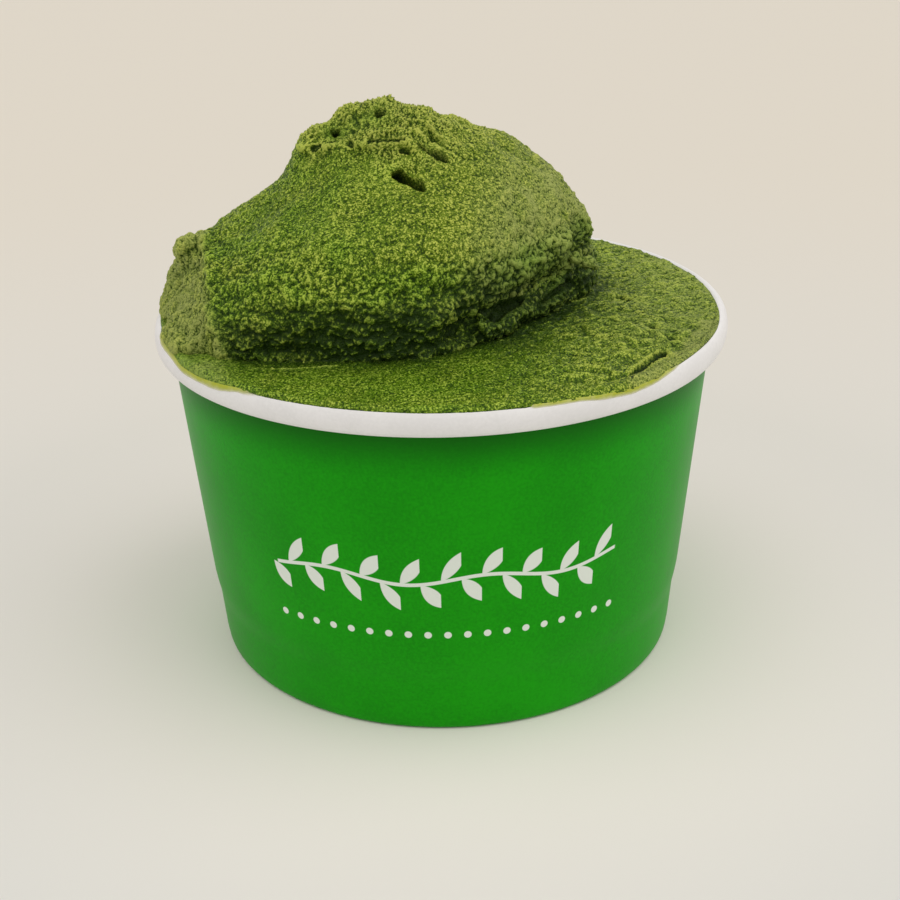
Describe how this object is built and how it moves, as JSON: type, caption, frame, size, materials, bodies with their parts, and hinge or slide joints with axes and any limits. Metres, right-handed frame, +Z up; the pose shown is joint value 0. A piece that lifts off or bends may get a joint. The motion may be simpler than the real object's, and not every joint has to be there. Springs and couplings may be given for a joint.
{
  "type": "gelato cup",
  "caption": "Round paper gelato cup with a white curled rim, levelled full of green gelato, with a tall paddled mound set on top.",
  "frame": {"origin": "on the table under the middle of the cup's foot", "axes": "+Z up along the cup's axis; the side shown to a customer faces -Y, and the mound leans over the rim towards -X"},
  "size_m": [0.095, 0.095, 0.0913],
  "materials": {
    "printed_paper": "coated paper, green print under a gloss coat, rim left white",
    "white_paper": "uncoated white paper",
    "gelato": "moist, finely grained frozen cream"
  },
  "bodies": {
    "root": {"cup_wall": "printed_paper", "cup_base": "white_paper", "gelato_fill": "gelato", "gelato_mound": "gelato"}
  },
  "joints": []
}
